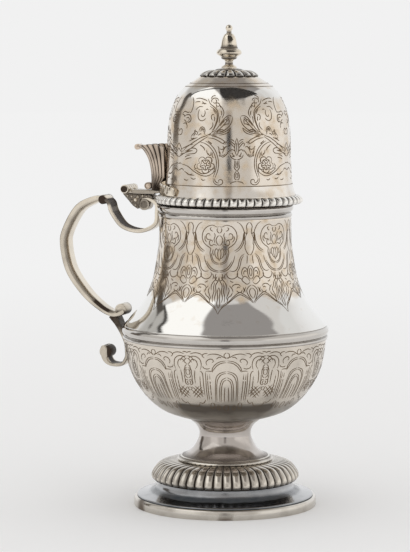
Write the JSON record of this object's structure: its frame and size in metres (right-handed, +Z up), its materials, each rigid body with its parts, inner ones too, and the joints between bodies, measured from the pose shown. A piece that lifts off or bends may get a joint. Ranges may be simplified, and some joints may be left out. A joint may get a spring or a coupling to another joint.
{
  "type": "mustard pot",
  "caption": "Footed baluster mustard pot in silver with a hinged domed lid, double scroll handle, fluted thumbpiece, gadrooned foot and lid rim, and engraved foliage and strapwork.",
  "frame": {"origin": "centre of the bounding box, on the table under the foot", "axes": "+Z up, -X towards the handle, +X away from the handle, Y across the handle's plane"},
  "size_m": [0.1096, 0.0818, 0.19],
  "materials": {
    "polished_silver": "polished",
    "engraved_silver": "satin",
    "worn_silver": "gloss"
  },
  "bodies": {
    "pot": {"foot_rim": "polished_silver", "foot_base": "polished_silver", "foot_gadroon_band": "polished_silver", "foot_collar": "polished_silver", "stem": "polished_silver", "bowl": "engraved_silver", "girdle_moulding": "polished_silver", "neck": "engraved_silver", "mouth_moulding": "polished_silver", "handle_upper_scroll": "worn_silver", "handle_loop": "worn_silver", "handle_tail": "worn_silver", "hinge_bracket": "worn_silver", "hinge_pin": "worn_silver"},
    "lid": {"lid_bezel": "polished_silver", "lid_rim": "polished_silver", "lid_dome": "engraved_silver", "lid_rosette": "engraved_silver", "finial": "polished_silver", "finial_nut": "worn_silver", "hinge_leaf": "worn_silver", "hinge_plate": "polished_silver", "thumbpiece": "worn_silver"}
  },
  "joints": [
    {"name": "lid_hinge", "type": "hinge", "parent": "pot", "child": "lid", "pos_m": [-0.0262, 0, 0.1251], "axis": [0, -1, 0], "range_deg": [0, 95]}
  ]
}
